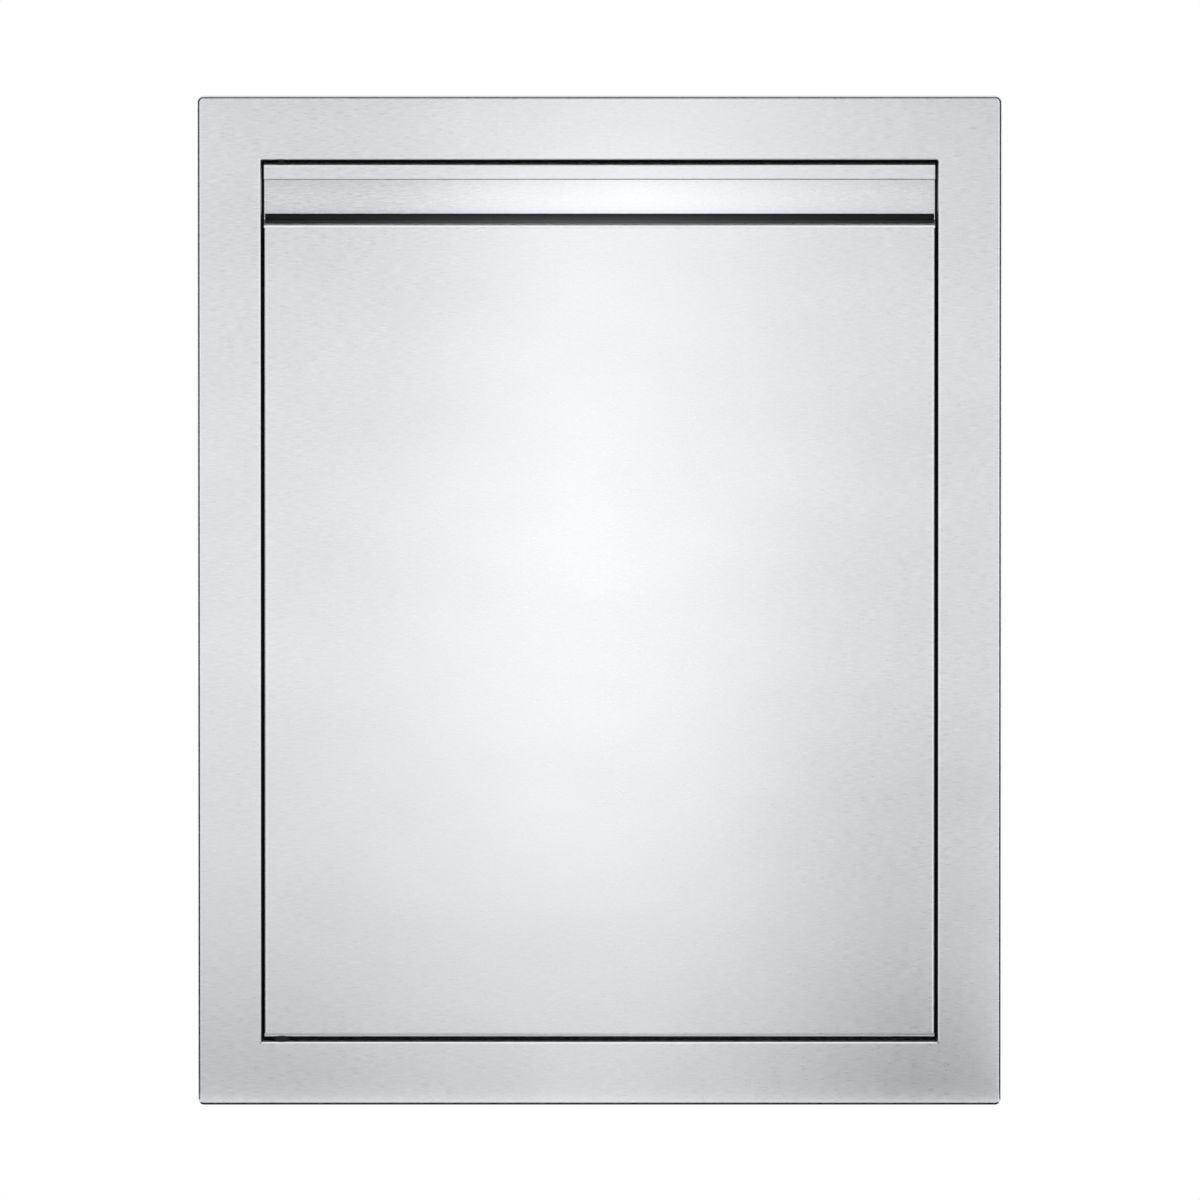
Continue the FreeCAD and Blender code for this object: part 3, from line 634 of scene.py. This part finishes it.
# %% [markdown]
# ## White surroundings
# The photograph shows the door on pure white with no shadow. Bare metal shows nothing but its
# surroundings, so they are what gets lit: the world and the floor are white to the camera and to
# reflections, and a little less bright for the light that reaches dull surfaces. Light Path tells the two
# kinds of ray apart.


# %% Floor and world
def seen_directly(tree):
    """1 for rays from the camera, from gloss or through glass, and 0 for the light on dull surfaces."""
    path = add(tree, "LightPath")
    seen = calc(tree, "ADD", path.outputs["Is Camera Ray"], path.outputs["Is Glossy Ray"])
    return calc(tree, "MINIMUM", calc(tree, "ADD", seen, path.outputs["Is Transmission Ray"]), 1.0)


def flat_card(name, corners):
    """A flat stage card between four corners."""
    data = bpy.data.meshes.new(name)
    data.from_pydata(corners, [], [(0, 1, 2, 3)])
    card = bpy.data.objects.new(name, data)
    bpy.context.scene.collection.objects.link(card)
    return card


lowest, floor_gap, floor_reach = cad_box[0][2], 0.4 * mm, 40.0
floor = flat_card("floor", [
    (x * floor_reach, y * floor_reach, lowest - floor_gap) for x, y in ((-1, -1), (1, -1), (1, 1), (-1, 1))
])
paper, tree, dull = new_material("White floor", (0.8, 0.8, 0.8), 0.0, 0.8)
white = add(tree, "Emission")
either = add(tree, "MixShader")
feed(tree, either.inputs[0], seen_directly(tree))
tree.links.new(dull.outputs[0], either.inputs[1])
tree.links.new(white.outputs[0], either.inputs[2])
tree.links.new(either.outputs[0], tree.nodes["Material Output"].inputs["Surface"])
paper.cycles.emission_sampling = "NONE"
floor.data.materials.append(paper)

world = bpy.data.worlds.new("Studio")
world.use_nodes = True
bpy.context.scene.world = world
sky = world.node_tree.nodes["Background"]
sky.inputs["Color"].default_value = (1.0, 1.0, 1.0, 1.0)
on_dull, seen = 0.7, 1.0
feed(world.node_tree, sky.inputs["Strength"], spread(
    world.node_tree, seen_directly(world.node_tree), on_dull, seen,
))
print("floor at", round(floor.data.vertices[0].co.z, 4))

# %% [markdown]
# ## Lamps
# The door is brightest in the middle and falls off to its sides, so a narrow soft lamp stands right in
# front, two weaker ones stand at the sides and one is above. The grain draws their reflections out into
# soft bands. A lamp's power in Blender grows with its size, so brightness is given for the area and
# turned into power: that way a lamp can be resized without changing how bright its reflection is.


# %% Lamps
def soft_lamp(name, place, aim, width, height, brightness):
    """A rectangular lamp; a brightness of 1 is as bright as the white surroundings."""
    lamp = bpy.data.lights.new(name, "AREA")
    lamp.shape = "RECTANGLE"
    lamp.size = width
    lamp.size_y = height
    lamp.energy = math.pi * width * height * brightness
    holder = bpy.data.objects.new(name, lamp)
    holder.location = place
    holder.rotation_euler = (Vector(aim) - Vector(place)).to_track_quat("-Z", "Y").to_euler()
    holder.visible_camera = False
    bpy.context.scene.collection.objects.link(holder)


soft_lamp("front_softbox", (-0.006, -1.3, -0.07), (-0.006, 0.0, -0.07), 0.22, 0.50, 0.88)
soft_lamp("left_softbox", (-0.58, -1.28, 0.0), (-0.1, 0.0, 0.0), 0.3, 0.7, 0.35)
soft_lamp("right_softbox", (0.58, -1.28, 0.0), (0.1, 0.0, 0.0), 0.35, 0.7, 0.64)
soft_lamp("top_softbox", (0.0, -0.95, 0.95), (0.0, 0.0, 0.0), 1.2, 0.7, 0.4)
print("lamps:", sorted(lamp.name for lamp in bpy.data.lights))

# %% [markdown]
# ## Cards
# Bright all round would lose the outline against the white, so black cards stand close to the trim's
# edges, as a photographer would set them, and one lies under its lower edge. Grey cards in front take the
# brightness down where the photograph falls off: on the floor before the door, darkest to the right, and
# upright in three places, as far off as the lamps. All are seen only in reflections and block no light.
# The floor lies a hair under the part, so that the level cards fit between the two.


# %% Cards
def grey_card(name, grey, corners):
    """A card that only reflections see: a grey of 0 is black, and 1 is as white as the surroundings."""
    card = flat_card(name, corners)
    finish = bpy.data.materials.new(name)
    finish.use_nodes = True
    glow = add(finish.node_tree, "Emission")
    glow.inputs["Strength"].default_value = grey
    surface = finish.node_tree.nodes["Material Output"].inputs["Surface"]
    finish.node_tree.links.new(glow.outputs[0], surface)
    finish.cycles.emission_sampling = "NONE"
    card.data.materials.append(finish)
    card.visible_camera = False
    card.visible_diffuse = False
    card.visible_transmission = False
    card.visible_shadow = False


def level_card(name, grey, left, right, near, far, height):
    """A grey card that lies level at a height."""
    grey_card(name, grey, [
        (left, near, height), (right, near, height), (right, far, height), (left, far, height),
    ])


def facing_card(name, grey, left, right, low, high, distance):
    """A grey card that stands upright at a distance along Y, facing the door."""
    grey_card(name, grey, [
        (left, distance, low), (right, distance, low), (right, distance, high), (left, distance, high),
    ])


# %% Black cards at the edges
black = 0.0
face, edge, away = cad_box[0][1], cad_box[1][0], 13 * mm
side, top, front, back = edge + away, cad_box[1][2] + away, face - 24 * mm, face + 2 * mm
for name, x in (("left_card", -side), ("right_card", side)):
    grey_card(name, black, [(x, back, lowest), (x, front, lowest), (x, front, top), (x, back, top)])
level_card("top_card", black, -side, side, back, front, top)
level_card("edge_strip", black, -edge, edge, face - 2.5 * mm, 40 * mm, lowest - floor_gap / 2)
print("black cards reach from y", round(front, 4), "to", round(back, 4))

# %% Grey cards in front
card_edges = (-0.32, -0.16, -0.04, 0.05, 0.10, 0.14, 0.18, 0.26)
card_greys = (0.46, 0.50, 0.60, 0.56, 0.48, 0.40, 0.30)
for left, right, grey in zip(card_edges, card_edges[1:], card_greys):
    level_card("floor_card", grey, left, right, -0.03, -0.7, lowest - 0.75 * floor_gap)
lamp_distance = -1.3
facing_card("lower_right_card", black, 0.15, 0.29, lowest, -0.15, lamp_distance)
facing_card("upper_right_card", 0.2, 0.18, 0.41, 0.2, 0.6, lamp_distance)
facing_card("upper_left_card", 0.3, -0.26, -0.07, 0.12, 0.55, lamp_distance)
print("grey cards:", len(card_greys) + 3)

# %% [markdown]
# ## The camera
# The photograph has no converging lines, and the trim's top return and the pull's floor show, so it was
# taken from far away and slightly above. A camera at 25 m with a very long lens, tipped down by five
# degrees, gives the same picture. The lens is worked out from the width that the picture covers at the
# object: the trim is 804 of the 1200 pixels wide, and 514.4 mm. The margins aren't quite equal, so the
# camera aims a fraction of a millimetre off the part's middle.

# %% Camera
trim_width, trim_pixels, picture_pixels = 514.4 * mm, 804, 1200
picture_width = trim_width * picture_pixels / trim_pixels
camera_distance = 25.0
camera_tip = math.radians(5.0)
aim = Vector((0.3 * mm, cad_box[0][1], 0.8 * mm))
lens = bpy.data.cameras.new("camera")
lens.lens = lens.sensor_width * camera_distance / picture_width
camera = bpy.data.objects.new("camera", lens)
camera.location = aim + camera_distance * Vector((0.0, -math.cos(camera_tip), math.sin(camera_tip)))
camera.rotation_euler = (math.pi / 2 - camera_tip, 0.0, 0.0)
bpy.context.scene.collection.objects.link(camera)
bpy.context.scene.camera = camera
bpy.context.scene.view_settings.view_transform = "Standard"
print("lens:", round(lens.lens), "mm, picture width:", round(picture_width, 4), "m")
